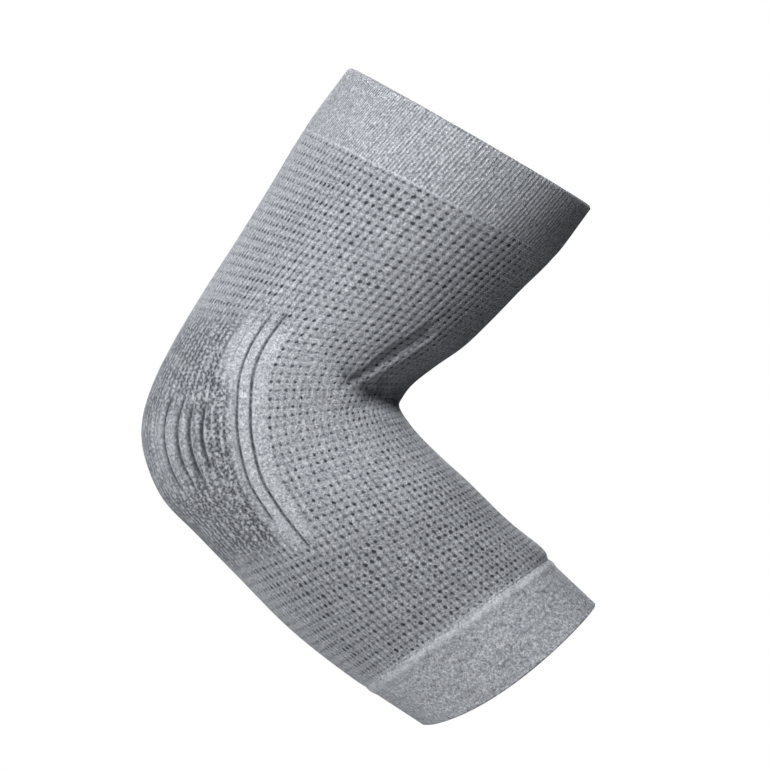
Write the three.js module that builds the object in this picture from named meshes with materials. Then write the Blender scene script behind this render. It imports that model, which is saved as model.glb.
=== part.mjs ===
// Knitted elbow sleeve in the form that a bent arm gives it: a hollow tube in three knitted pieces.
// Millimetres, +Z up. The tube bends in the X-Z plane and is the same on both sides of that plane.
// The origin is the middle of the elbow, inside the tube. The upper arm rises from it towards +X,
// and the forearm falls from it towards +X.

import * as THREE from 'three';

// Named sizes of the elbow

const elbowDepth = 98.8; // from the tip of the elbow to the crook
const elbowWidth = 80;
const elbowTurn = 10; // degrees from +X to the line from the tip to the crook

// Named sizes of the upper arm

const upperReach = 134; // from the middle of the elbow to the middle of the top edge
const upperLift = 55.5; // degrees above level
const topDepth = 106;
const topWidth = 90;
const topTurn = -30; // degrees from +X to the top edge

// Named sizes of the forearm

const foreReach = 127.8; // from the middle of the elbow to the middle of the hem
const foreDrop = 44.8; // degrees below level
const hemDepth = 80;
const hemWidth = 66;
const hemTurn = 35; // degrees from +X to the hem
const hemBulge = 6.5; // how far the middle of the hem stands past its corners
const hemFullness = 1.5; // a lower number makes the hem's curve fuller towards its corners

// Named sizes of the knit

const knitWall = 1.9;
const cuffWall = 2.4;
const upperCuffHeight = 26.5;
const lowerCuffHeight = 26.1;
const seamSlant = 2.6; // how far the lower seam leans up on the crook side, and down on the back
const seamGap = 0.3; // between a cuff and the body
const ridgeHeight = 3.8; // the raised band at the top of the lower cuff
const ridgeRise = 0.5;
const puffRise = 1.2; // how far the body's end stands proud of the lower cuff
const puffLength = 18;
const puffShoulder = 2; // how quickly the body's end turns in to the seam
const puffCrest = 2.4; // from the seam to the row where the puff is fullest
const ribDepth = 1; // the grooves of the elbow patch
const lean = 0.067; // how far the knit's lines lean to the back of the arm beside the elbow, as a share round
const leanPeak = 0.43; // the share round where they lean most
const leanReach = 0.24; // how soon they do, as a share of elbowDepth along the sleeve

// How finely the faces follow the form

const rowStep = 8; // along the sleeve
const crookRows = 3; // rows between two sections beside the crook
const crookSections = 2; // sections on each side of the elbow's that count as beside the crook
const hemRows = 5; // rows of the lower cuff below its raised band
const plainColumns = 11; // columns on each side of the body where the knit has no rib
const cuffColumns = 21; // columns on each side of a cuff

// The form. Each row is a section through the tube, square to the bend plane. Its outer end lies on
// the back of the arm and its inner end on the side of the crook. "Along" is a share of the straight
// line from the elbow to the end of that arm, "bow" is how far the end stands out from that line, as
// a share of elbowDepth, and "width" is a share of the width between the elbow's and that end's.

const sections = [
  { arm: 'upper', outerAlong: 1, outerBow: 0, innerAlong: 1, innerBow: 0, width: 1 },
  { arm: 'upper', outerAlong: 0.826, outerBow: 0.04, innerAlong: 0.769, innerBow: 0.031, width: 1.01 },
  { arm: 'upper', outerAlong: 0.675, outerBow: 0.053, innerAlong: 0.604, innerBow: 0.028, width: 1.01 },
  { arm: 'upper', outerAlong: 0.531, outerBow: 0.067, innerAlong: 0.447, innerBow: 0.028, width: 1 },
  { arm: 'upper', outerAlong: 0.391, outerBow: 0.085, innerAlong: 0.315, innerBow: 0.022, width: 1 },
  { arm: 'upper', outerAlong: 0.258, outerBow: 0.095, innerAlong: 0.181, innerBow: -0.005, width: 1 },
  { arm: 'upper', outerAlong: 0.147, outerBow: 0.089, innerAlong: 0.08, innerBow: -0.018, width: 1 },
  { arm: 'upper', outerAlong: 0.06, outerBow: 0.058, innerAlong: 0.026, innerBow: -0.01, width: 1 },
  { arm: 'elbow', outerAlong: 0, outerBow: 0, innerAlong: 0, innerBow: 0, width: 1 },
  { arm: 'fore', outerAlong: 0.118, outerBow: 0.079, innerAlong: 0.084, innerBow: -0.023, width: 1 },
  { arm: 'fore', outerAlong: 0.248, outerBow: 0.087, innerAlong: 0.222, innerBow: -0.026, width: 1.02 },
  { arm: 'fore', outerAlong: 0.392, outerBow: 0.092, innerAlong: 0.364, innerBow: -0.018, width: 1.04 },
  { arm: 'fore', outerAlong: 0.593, outerBow: 0.095, innerAlong: 0.55, innerBow: -0.011, width: 1.03 },
  { arm: 'fore', outerAlong: 0.79, outerBow: 0.06, innerAlong: 0.766, innerBow: 0, width: 1.01 },
  { arm: 'fore', outerAlong: 1, outerBow: 0, innerAlong: 1, innerBow: 0, width: 1 },
];

// The ribs of the elbow patch are grooves that run along the sleeve. "Round" is where one lies
// between the back of the arm (0) and the crook side (1), "reach" is how far it spreads to each side,
// and "from" and "to" are where it starts and ends past the tip, as shares of elbowDepth.

const grooves = [
  { round: 0.14, reach: 0.014, from: -0.12, to: 0.13, depth: 0.7 },
  { round: 0.19, reach: 0.014, from: -0.18, to: 0.18, depth: 0.9 },
  { round: 0.24, reach: 0.014, from: -0.17, to: 0.17, depth: 1.1 },
  { round: 0.282, reach: 0.014, from: -0.14, to: 0.17, depth: 1 },
  { round: 0.322, reach: 0.014, from: -0.14, to: 0.13, depth: 0.8 },
  { round: 0.419, reach: 0.012, from: -0.5, to: 0.4, depth: 1 },
  { round: 0.453, reach: 0.012, from: -0.51, to: 0.54, depth: 1 },
];
const grooveFade = 0.06; // the stretch over which a groove's end fades out

// The folds of the crook, as shares of elbowDepth in the bend plane. Each draws the sides in along
// two straight runs between its three points. "Draw" is the share of the width that goes, and
// "above" and "below" are how far the fold reaches to its two sides, all at both of its ends.

const folds = [
  {
    line: [[0.27, 0.15], [0.43, 0.25], [0.6, 0.36]],
    draw: [0.01, 0.06],
    above: [0.02, 0.035],
    below: [0.02, 0.035],
  },
  {
    line: [[0.305, 0.16], [0.365, 0.105], [0.56, 0.055]],
    draw: [0.1, 0.42],
    above: [0.07, 0.22],
    below: [0.025, 0.05],
  },
];

const rad = THREE.MathUtils.degToRad;
const onSection = (degrees) => new THREE.Vector2(Math.cos(rad(degrees)), Math.sin(rad(degrees)));

// The outer and inner corners of a section, from its middle, its direction and its depth
const corners = (middle, turn, depth) => {
  const half = onSection(turn).multiplyScalar(depth / 2);
  return { outer: middle.clone().sub(half), inner: middle.clone().add(half) };
};

const elbow = corners(new THREE.Vector2(0, 0), elbowTurn, elbowDepth);
const ends = {
  upper: corners(onSection(upperLift).multiplyScalar(upperReach), topTurn, topDepth),
  fore: corners(onSection(-foreDrop).multiplyScalar(foreReach), hemTurn, hemDepth),
  elbow,
};
const endWidths = { upper: topWidth, fore: hemWidth, elbow: elbowWidth };

// A point on the bowed line from the elbow to the end of an arm
const bowed = (start, end, along, bow, side) => {
  const run = end.clone().sub(start);
  const out = new THREE.Vector2(-run.y, run.x).normalize().multiplyScalar(side * bow * elbowDepth);
  return start.clone().addScaledVector(run, along).add(out);
};

// What every section is taken from: smooth curves along both edges, and the width
const edges = sections.map((row) => {
  const end = ends[row.arm];
  const side = row.arm === 'fore' ? -1 : 1;
  const along = (row.outerAlong + row.innerAlong) / 2;
  return {
    outer: bowed(elbow.outer, end.outer, row.outerAlong, row.outerBow, side),
    inner: bowed(elbow.inner, end.inner, row.innerAlong, row.innerBow, -side),
    width: row.width * THREE.MathUtils.lerp(elbowWidth, endWidths[row.arm], along),
  };
});
const smooth = (points) => new THREE.CatmullRomCurve3(points, false, 'centripetal');
const outerCurve = smooth(edges.map(({ outer }) => new THREE.Vector3(outer.x, 0, outer.y)));
const innerCurve = smooth(edges.map(({ inner }) => new THREE.Vector3(inner.x, 0, inner.y)));
const lastSection = sections.length - 1;
const elbowSection = sections.findIndex(({ arm }) => arm === 'elbow');

// The width part way between two sections, eased so that it has no corner at either
const widthAt = (place) => {
  const before = Math.min(Math.floor(place), lastSection - 1);
  const share = THREE.MathUtils.smoothstep(place - before, 0, 1);
  return THREE.MathUtils.lerp(edges[before].width, edges[before + 1].width, share);
};

// A section at a place along the sleeve, counted in rows of the table
const sectionAt = (place) => {
  const outer = outerCurve.getPoint(place / lastSection);
  const inner = innerCurve.getPoint(place / lastSection);
  const middle = outer.clone().add(inner).multiplyScalar(0.5);
  return { middle, half: inner.sub(outer).multiplyScalar(0.5), halfWidth: widthAt(place) / 2 };
};

// The distance of each place from the top edge, along the middle of the tube
const lengthStep = 0.05;
const lengths = [{ place: 0, length: 0 }];
for (let place = lengthStep; place < lastSection + lengthStep / 2; place += lengthStep) {
  const last = lengths[lengths.length - 1];
  const run = sectionAt(last.place).middle.distanceTo(sectionAt(Math.min(place, lastSection)).middle);
  lengths.push({ place: Math.min(place, lastSection), length: last.length + run });
}
const sleeveLength = lengths[lengths.length - 1].length;

const between = (value, table, key, wanted) => {
  const after = Math.max(1, table.findIndex((row) => row[key] >= value));
  const [a, b] = [table[after - 1], table[after]];
  return THREE.MathUtils.mapLinear(value, a[key], b[key], a[wanted], b[wanted]);
};
const placeOf = (length) => between(length, lengths, 'length', 'place');
const lengthOf = (place) => between(place, lengths, 'place', 'length');

// A smooth bump: 1 in the middle and 0 at its reach on both sides
const bump = (distance, reach) => {
  const share = Math.min(Math.abs(distance) / reach, 1);
  return (1 - share * share) ** 2;
};

// How far along a line's two runs a point lies, from 0 to 1, and how far off them, positive above
const alongLine = (line, x, z) => {
  const points = line.map(([px, pz]) => new THREE.Vector2(px, pz).multiplyScalar(elbowDepth));
  const runs = [0, 1].map((index) => {
    const run = points[index + 1].clone().sub(points[index]);
    const here = new THREE.Vector2(x, z).sub(points[index]);
    const along = THREE.MathUtils.clamp(here.dot(run) / run.lengthSq(), 0, 1);
    const side = run.cross(here) < 0 ? -1 : 1;
    return { along: (index + along) / 2, away: side * here.distanceTo(run.multiplyScalar(along)) };
  });
  return Math.abs(runs[1].away) < Math.abs(runs[0].away) ? runs[1] : runs[0];
};

// The share of the half width that the folds of the crook leave at a point of the bend plane
const foldShare = (x, z) => {
  let left = 1;
  for (const { line, draw, above, below } of folds) {
    const { along, away } = alongLine(line, x, z);
    const reach = away > 0 ? above : below;
    const spread = THREE.MathUtils.lerp(reach[0], reach[1], along) * elbowDepth;
    left -= THREE.MathUtils.lerp(draw[0], draw[1], along) * bump(away, spread);
  }
  return left;
};

// How far a length from the top edge lies past the tip of the elbow, as a share of elbowDepth
const tipLength = lengthOf(elbowSection);
const pastTip = (length) => (length - tipLength) / elbowDepth;

// How deep the grooves are at a length from the top edge and a share of the way round
const grooveDepth = (length, round) => {
  const share = pastTip(length);
  let depth = 0;
  for (const groove of grooves) {
    const within = Math.min(share - groove.from, groove.to - share);
    const fade = THREE.MathUtils.smoothstep(within, 0, grooveFade);
    depth += ribDepth * groove.depth * fade * bump(round - groove.round, groove.reach);
  }
  return depth;
};

// Where a line of the knit lies round the sleeve: it leans to the back on both sides of the elbow
const leaned = (length, round) => {
  const near = round > 1 ? 2 - round : round;
  const fullness = 1 - Math.exp(-((pastTip(length) / leanReach) ** 2));
  const rise = THREE.MathUtils.smoothstep(near, 0, leanPeak);
  const shift = lean * fullness * rise * (1 - THREE.MathUtils.smoothstep(near, leanPeak, 1));
  return round > 1 ? round + shift : round - shift;
};

// Where a row of the knit lies along the sleeve: the rows beside the lower seam are slanted with it
const lowerSeam = sleeveLength - lowerCuffHeight;
const slanted = (length, round) => (
  length + seamSlant * Math.cos(round * Math.PI) * bump(length - lowerSeam, lowerCuffHeight)
);

// The places round the tube where its columns of vertices lie: at the marks given, and evenly in the
// widest spaces that are left. They start at the back of the arm, at 0, pass the near side and the
// crook, at 1, and come back along the far side.
const columnsAt = (marks, extras) => {
  const side = [0, ...marks, 1];
  for (let extra = 0; extra < extras; extra += 1) {
    const spaces = side.slice(1).map((round, index) => round - side[index]);
    const widest = spaces.indexOf(Math.max(...spaces));
    side.splice(widest + 1, 0, (side[widest] + side[widest + 1]) / 2);
  }
  return [...side, ...side.slice(1, -1).reverse().map((round) => 2 - round)];
};

// The middle of each groove and both of its sides
const grooveMarks = grooves.flatMap(({ round, reach }) => [round - reach, round, round + reach]);

// A point of a wall. "Inset" is how far it lies inside the smooth outer form, and "drop" is how far
// it lies past the section, along the forearm.
const foreAxis = new THREE.Vector3(Math.cos(rad(foreDrop)), 0, -Math.sin(rad(foreDrop)));
const wallPoint = (place, round, inset, drop) => {
  const { middle, half, halfWidth } = sectionAt(place);
  const angle = round * Math.PI;
  const skin = middle.clone().addScaledVector(half, -Math.cos(angle));
  const side = Math.sin(angle) * (halfWidth - inset) * foldShare(skin.x, skin.z);
  const point = middle.clone().addScaledVector(half, -Math.cos(angle) * (1 - inset / half.length()));
  return point.setY(-side).addScaledVector(foreAxis, drop * Math.abs(Math.sin(angle)) ** hemFullness);
};

// The rows of a piece between two lengths from the top edge, closer together beside the crook
const rowLengths = (from, to) => {
  const stops = [];
  for (let index = 0; index < lastSection; index += 1) {
    const start = lengthOf(index);
    const end = lengthOf(index + 1);
    const beside = Math.abs(index + 0.5 - elbowSection) < crookSections;
    const steps = Math.max(beside ? crookRows : 1, Math.round((end - start) / rowStep));
    for (let step = 0; step < steps; step += 1) {
      stops.push(THREE.MathUtils.lerp(start, end, step / steps));
    }
  }
  const inside = (length) => Math.min(length - from, to - length) > rowStep / 3;
  return [from, ...stops.filter(inside), to];
};

// One closed wall: an outer skin, an inner skin and the two edges between them. "Profile" gives the
// inset of the outer skin and "drop" the shift along the forearm, at a length and a share round.
const tube = (stops, columns, wall, profile, drop) => {
  const positions = [];
  for (const inside of [0, wall]) {
    for (const length of stops) {
      for (const column of columns) {
        const near = column > 1 ? 2 - column : column;
        const round = leaned(length, column);
        const place = placeOf(slanted(length, round));
        const point = wallPoint(place, round, inside + profile(length, near, inside > 0), drop(length));
        positions.push(point.x, point.y, point.z);
      }
    }
  }
  const around = columns.length;
  const inner = stops.length * around;
  const faces = [];
  const quad = (a, b, c, d) => faces.push(a, b, c, a, c, d);
  for (let column = 0; column < around; column += 1) {
    const next = (column + 1) % around;
    for (let row = 0; row < stops.length - 1; row += 1) {
      const [here, below] = [row * around, (row + 1) * around];
      quad(here + column, below + column, below + next, here + next);
      quad(inner + here + column, inner + here + next, inner + below + next, inner + below + column);
    }
    const last = (stops.length - 1) * around;
    quad(column, next, inner + next, inner + column);
    quad(last + next, last + column, inner + last + column, inner + last + next);
  }
  const geometry = new THREE.BufferGeometry();
  geometry.setAttribute('position', new THREE.Float32BufferAttribute(positions, 3));
  geometry.setIndex(faces);
  geometry.computeVertexNormals();
  return geometry;
};

const knit = (name, color, geometry) => {
  const material = new THREE.MeshStandardMaterial({ color, roughness: 0.95, metalness: 0 });
  const mesh = new THREE.Mesh(geometry, material);
  mesh.name = name;
  return mesh;
};
const level = () => 0;
const evenly = (count) => Array.from({ length: count - 2 }, (_, index) => (index + 1) / (count - 1));

// The upper cuff: a plain turned welt, flush with the body
const cuffPlaces = columnsAt(evenly(cuffColumns), 0);
const upperStops = rowLengths(0, upperCuffHeight - seamGap / 2);
const upperCuff = knit('upper_cuff', 0xb2b5ba, tube(upperStops, cuffPlaces, cuffWall, level, level));

// The body: grooved at the elbow, and puffed where it ends above the lower cuff
const puff = (length) => {
  const above = lowerSeam - length;
  return puffRise * (1 - Math.exp(-above / puffShoulder)) * Math.exp(-((above / puffLength) ** 2));
};
const bodyProfile = (length, round, inside) => {
  const groove = inside ? 0 : grooveDepth(length, round);
  return groove - puff(length);
};
const bodyStops = rowLengths(upperCuffHeight + seamGap / 2, lowerSeam - seamGap / 2);
bodyStops.splice(-1, 0, lowerSeam - puffCrest);
const bodyPlaces = columnsAt(grooveMarks, plainColumns);
const body = knit('sleeve_body', 0x94969c, tube(bodyStops, bodyPlaces, knitWall, bodyProfile, level));

// The lower cuff: a raised band under the seam, then a plain welt that ends in the rounded hem
const ridgeEnd = lowerSeam + ridgeHeight;
const ridgeMiddle = lowerSeam + ridgeHeight / 2;
const ridgeProfile = (length, round, inside) => (
  inside ? 0 : -ridgeRise * bump(length - ridgeMiddle, ridgeHeight / 2)
);
const hemDrop = (length) => hemBulge * Math.max(0, (length - ridgeEnd) / (sleeveLength - ridgeEnd));
const lowerStops = [lowerSeam + seamGap / 2, ridgeMiddle, ridgeEnd];
for (let row = 1; row <= hemRows; row += 1) {
  lowerStops.push(THREE.MathUtils.lerp(ridgeEnd, sleeveLength, row / hemRows));
}
const lowerCuff = knit('lower_cuff', 0x9a9ca2, tube(lowerStops, cuffPlaces, cuffWall, ridgeProfile, hemDrop));

const group = new THREE.Group();
group.add(upperCuff, body, lowerCuff);

export default group;
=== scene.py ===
"""The visible knit of an elbow sleeve, held in the form of a bent arm: a ribbed upper cuff, a body
with eyelets and a dense elbow patch, and a plain lower cuff, with a studio to see them in."""

from collections import namedtuple
from math import pi, radians

import bpy
import numpy as np
from bpy.props import FloatProperty, FloatVectorProperty, IntProperty, PointerProperty
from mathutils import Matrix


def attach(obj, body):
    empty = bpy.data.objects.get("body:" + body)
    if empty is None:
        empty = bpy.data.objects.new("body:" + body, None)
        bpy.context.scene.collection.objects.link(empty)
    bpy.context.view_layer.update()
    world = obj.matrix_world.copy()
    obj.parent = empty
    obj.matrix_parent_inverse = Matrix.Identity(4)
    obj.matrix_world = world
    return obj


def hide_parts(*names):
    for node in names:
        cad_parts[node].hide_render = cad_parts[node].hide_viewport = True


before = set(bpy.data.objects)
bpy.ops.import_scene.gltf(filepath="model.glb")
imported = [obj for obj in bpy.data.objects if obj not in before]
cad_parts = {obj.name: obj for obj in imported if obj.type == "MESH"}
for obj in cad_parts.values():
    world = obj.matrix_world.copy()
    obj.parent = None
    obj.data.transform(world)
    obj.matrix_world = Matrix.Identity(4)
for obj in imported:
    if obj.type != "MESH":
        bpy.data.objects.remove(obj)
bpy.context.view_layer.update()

bl_info = {
    "name": "Knitted Elbow Sleeve",
    "version": (1, 0, 0),
    "blender": (4, 5, 0),
    "location": "View3D > Sidebar > Sleeve",
    "description": "Builds a knitted elbow sleeve in the form of a bent arm",
    "category": "Add Mesh",
}

MM = 0.001

# The one body of the part: the whole sleeve rides on it
BODY = "root"


def linear(hex_colour):
    """An sRGB hex value as linear red, green and blue."""
    srgb = np.array([int(hex_colour[i:i + 2], 16) for i in (1, 3, 5)]) / 255
    return tuple(np.where(srgb <= 0.04045, srgb / 12.92, ((srgb + 0.055) / 1.055) ** 2.4))


# The form, as shares of the named sizes

Section = namedtuple("Section", "arm outer_along outer_bow inner_along inner_bow width")

# Sections through the tube from the top edge to the hem. "Along" is a share of the straight line
# from the elbow to the end of that arm, "bow" is how far the section's end stands out from that
# line, as a share of the elbow's depth, and "width" is a share of the width there.
SECTIONS = (
    Section("upper", 1, 0, 1, 0, 1),
    Section("upper", 0.826, 0.04, 0.769, 0.031, 1.01),
    Section("upper", 0.675, 0.053, 0.604, 0.028, 1.01),
    Section("upper", 0.531, 0.067, 0.447, 0.028, 1),
    Section("upper", 0.391, 0.085, 0.315, 0.022, 1),
    Section("upper", 0.258, 0.095, 0.181, -0.005, 1),
    Section("upper", 0.147, 0.089, 0.08, -0.018, 1),
    Section("upper", 0.06, 0.058, 0.026, -0.01, 1),
    Section("elbow", 0, 0, 0, 0, 1),
    Section("fore", 0.118, 0.079, 0.084, -0.023, 1),
    Section("fore", 0.248, 0.087, 0.222, -0.026, 1.02),
    Section("fore", 0.392, 0.092, 0.364, -0.018, 1.04),
    Section("fore", 0.593, 0.095, 0.55, -0.016, 1.03),
    Section("fore", 0.79, 0.06, 0.766, -0.009, 1.01),
    Section("fore", 1, 0, 1, 0, 1),
)
LAST = len(SECTIONS) - 1
ELBOW = [section.arm for section in SECTIONS].index("elbow")

# Points that measure the sleeve's middle line, from one section to the next
STEPS = 40

Groove = namedtuple("Groove", "round start end bow reach depth")

# The grooves of the elbow patch, which run along the sleeve. "Round" is where one lies between the
# back of the arm (0) and the crook side (1), "start" and "end" are where it begins and ends, as
# shares of the elbow's depth past the tip of the elbow, "bow" is how much nearer the crook it ends
# than the knit's lines do, "reach" is half its width, counted like "round", and "depth" is a share
# of the groove depth.
GROOVES = (
    Groove(0.14, -0.12, 0.13, 0.012, 0.008, 0.6),
    Groove(0.19, -0.18, 0.18, 0.022, 0.01, 1),
    Groove(0.24, -0.17, 0.17, 0.024, 0.012, 1.3),
    Groove(0.282, -0.14, 0.17, 0.02, 0.012, 1.2),
    Groove(0.322, -0.14, 0.13, 0.016, 0.01, 1),
    Groove(0.419, -0.5, 0.4, 0, 0.0065, 0.9),
    Groove(0.453, -0.51, 0.54, 0, 0.0065, 1),
    Groove(0.3, -0.46, -0.27, 0, 0.005, 0.35),
    Groove(0.345, -0.48, -0.25, 0, 0.005, 0.5),
    Groove(0.385, -0.5, -0.22, 0, 0.005, 0.5),
)
GROOVE_FADE = 0.06

# The dense elbow patch: the shares of the elbow's depth past its tip over which it begins and ends,
# how far round it reaches, how much less far above the elbow, over which shares of the depth above
# the tip it narrows, and how much paler it is between the short grooves there
PATCH_BEGIN = (-0.49, -0.36)
PATCH_END = (0.4, 0.56)
PATCH_EDGE = 0.42
PATCH_NARROWER = 0.05
PATCH_NARROWS = (0.1, 0.35)
PATCH_TIP = 0.6

# How far the lines of the knit lean to the back of the arm above and below the elbow, as shares
# round, the share round where they lean most, and how soon they do, as a share of the elbow's depth.
# They also twist round the arm on their way down, by a share round for each elbow's depth.
LEANS = (0.09, 0.042)
LEAN_PEAK = 0.43
LEAN_REACH = 0.24
TWIST = 0.062

# The courses lie closer than usual on the upper arm and wider than usual below the elbow: how much
# so, and the share of the body where they lie closest.
COURSE_STRETCH = 0.08
COURSE_CLOSEST = 0.08

# How round the sides of the sleeve are on the crook side, above and below its deep fold: 1 is an
# ellipse, a lower number is fuller and a higher one slimmer. One changes into the other over the
# crook change, in shares of the elbow's depth from the fold. Both come nearer an ellipse at the hem
# and the top, each between two heights below and above the elbow's middle, in the same shares.
CROOK_SIDES = (1.26, 0.55)
CROOK_CHANGE = (-0.02, 0.05)
HEM_SIDES = 0.85
HEM_CHANGE = (0.4, 0.9)
TOP_SIDES = 1.08
TOP_CHANGE = (0.6, 0.85)

Crease = namedtuple("Crease", "start middle end rise reach")

# The creases of the crook, as shares of the elbow's depth in the bend plane. Each follows two
# straight runs, "rise" is how far the knit stands out along it, or in where it is negative, and
# "reach" is half its width.
CREASES = (
    Crease((0.25, 0.145), (0.43, 0.25), (0.64, 0.37), -0.01, 0.02),
    Crease((0.33, 0.163), (0.45, 0.228), (0.6, 0.32), 0.002, 0.024),
    Crease((0.38, 0.24), (0.5, 0.315), (0.7, 0.44), -0.008, 0.018),
)

Fold = namedtuple("Fold", "start middle end draw above below")

# The folds of the crook, likewise. Each draws the sides in along its two runs: "draw" is the share
# of the width that goes, and "above" and "below" how far that reaches to its upper and lower side,
# all at both ends.
FOLDS = (
    Fold((0.27, 0.15), (0.43, 0.25), (0.6, 0.36), (0.01, 0.06), (0.02, 0.035), (0.02, 0.035)),
    Fold((0.305, 0.16), (0.365, 0.095), (0.56, 0.04), (0.03, 0.31), (0.07, 0.23), (0.02, 0.035)),
)
DEEP_FOLD = FOLDS[1]


def smoothstep(value, low, high):
    """0 below low, 1 above high, and a cubic that is level at both between them."""
    share = np.clip((value - low) / (high - low), 0, 1)
    return share * share * (3 - 2 * share)


def bump(distance, reach):
    """1 in the middle, 0 at its reach on both sides, as (1 - share squared) squared."""
    share = np.minimum(np.abs(distance) / reach, 1)
    return (1 - share * share) ** 2


def direction(angle):
    """The unit vector at an angle above +X in the bend plane."""
    return np.array([np.cos(angle), np.sin(angle)])


def along_runs(x, z, crease, size):
    """How far along a crease's two runs a point lies, from 0 to 1, and how far off them it is,
    positive above them."""
    off = np.full_like(x, np.inf)
    share = np.zeros_like(x)
    for first, ends in enumerate(((crease.start, crease.middle), (crease.middle, crease.end))):
        start, end = np.array(ends) * size
        run = end - start
        ahead, beside = x - start[0], z - start[1]
        along = np.clip((ahead * run[0] + beside * run[1]) / (run @ run), 0, 1)
        away = np.hypot(ahead - along * run[0], beside - along * run[1])
        away = np.where(beside * run[0] - ahead * run[1] < 0, -away, away)
        closer = np.abs(away) < np.abs(off)
        off = np.where(closer, away, off)
        share = np.where(closer, (first + along) / 2, share)
    return share, off


def corners(middle, turn, depth):
    """The outer and inner ends of a section: its middle, less and plus half its depth."""
    half = direction(turn) * depth / 2
    return middle - half, middle + half


def bowed(start, end, along, out):
    """A share of the way from start to end, then out to the left of that line. At the elbow the
    start is the end, and nothing is added."""
    run = end - start
    left = np.array([-run[1], run[0]]) / (np.linalg.norm(run) or 1)
    return start + along * run + out * left


def smooth_through(points, place):
    """A centripetal curve through points: between two of them a cubic whose slopes at both come
    from the square roots of the distances to their neighbours."""
    padded = np.vstack([2 * points[0] - points[1], points, 2 * points[-1] - points[-2]])
    before = np.clip(place.astype(int), 0, len(points) - 2)
    share = (place - before)[..., None]
    a, b, c, d = (padded[before + step] for step in range(4))
    ab, bc, cd = (
        np.sqrt(np.linalg.norm(q - p, axis=-1, keepdims=True)) for p, q in ((a, b), (b, c), (c, d))
    )
    leave = ((b - a) / ab - (c - a) / (ab + bc) + (c - b) / bc) * bc
    reach = ((c - b) / bc - (d - b) / (bc + cd) + (d - c) / cd) * bc
    square = 3 * (c - b) - 2 * leave - reach
    cube = 2 * (b - c) + leave + reach
    return b + share * (leave + share * (square + share * cube))


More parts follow.
